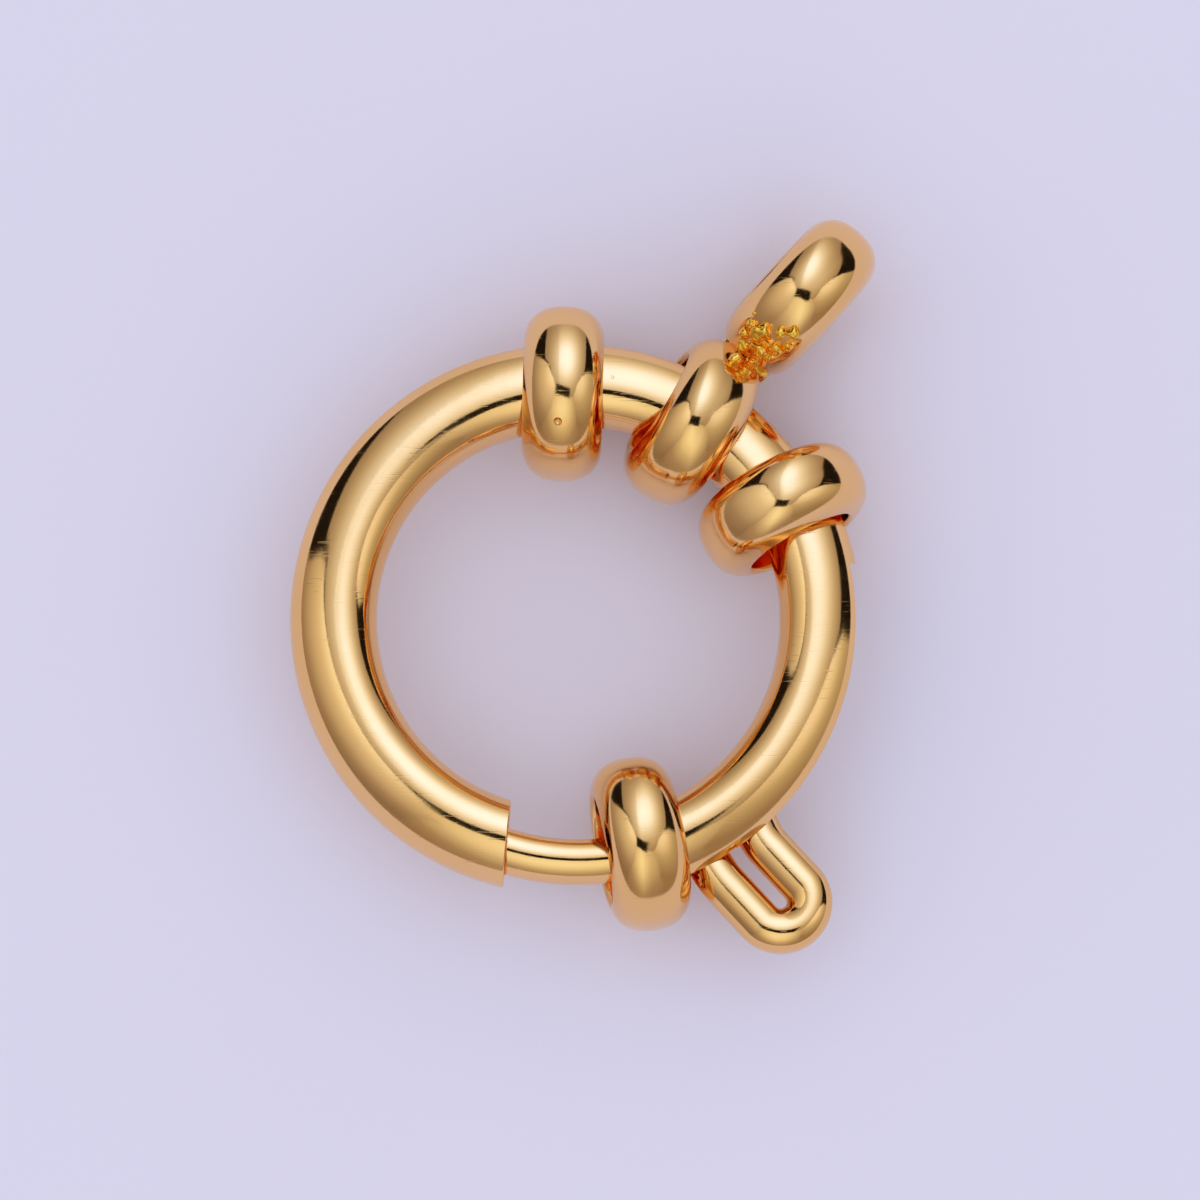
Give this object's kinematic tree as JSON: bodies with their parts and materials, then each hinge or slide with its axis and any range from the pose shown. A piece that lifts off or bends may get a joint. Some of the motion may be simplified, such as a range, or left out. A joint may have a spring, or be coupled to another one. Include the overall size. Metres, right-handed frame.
{
  "type": "spring ring clasp",
  "caption": "Gold-plated spring ring clasp with round beads, a sliding gate pulled by a trigger loop, and a loose two-bead bail.",
  "frame": {"origin": "centre of the ring, in the ring's middle plane, on the axis that the gate slides round", "axes": "+Z out of the ring's plane towards the side shown in the picture, +Y towards the top bead, +X towards the slotted barrel"},
  "size_m": [0.0205, 0.0258, 0.0062],
  "materials": {
    "gold": "polished gold plate over brass",
    "spring_steel": "plain drawn spring wire"
  },
  "bodies": {
    "ring": {"ring_tube": "gold", "top_bead": "gold", "side_bead": "gold", "gate_bead": "gold", "spring": "spring_steel"},
    "gate": {"gate_wire": "gold", "trigger_loop": "gold"},
    "bail": {"bail": "gold"}
  },
  "joints": [
    {"name": "gate_slide", "type": "hinge", "parent": "ring", "child": "gate", "pos_m": [0, 0, 0], "axis": [0, 0, 1], "range_deg": [0, 50], "stiffness_Nm_per_rad": 0.004, "springref_deg": -48.7, "deforming": ["spring"]},
    {"name": "bail_swing", "type": "hinge", "parent": "ring", "child": "bail", "pos_m": [0.00399, 0.00696, 0], "axis": [0.8461, -0.5145, -0.1392], "continuous": true}
  ]
}
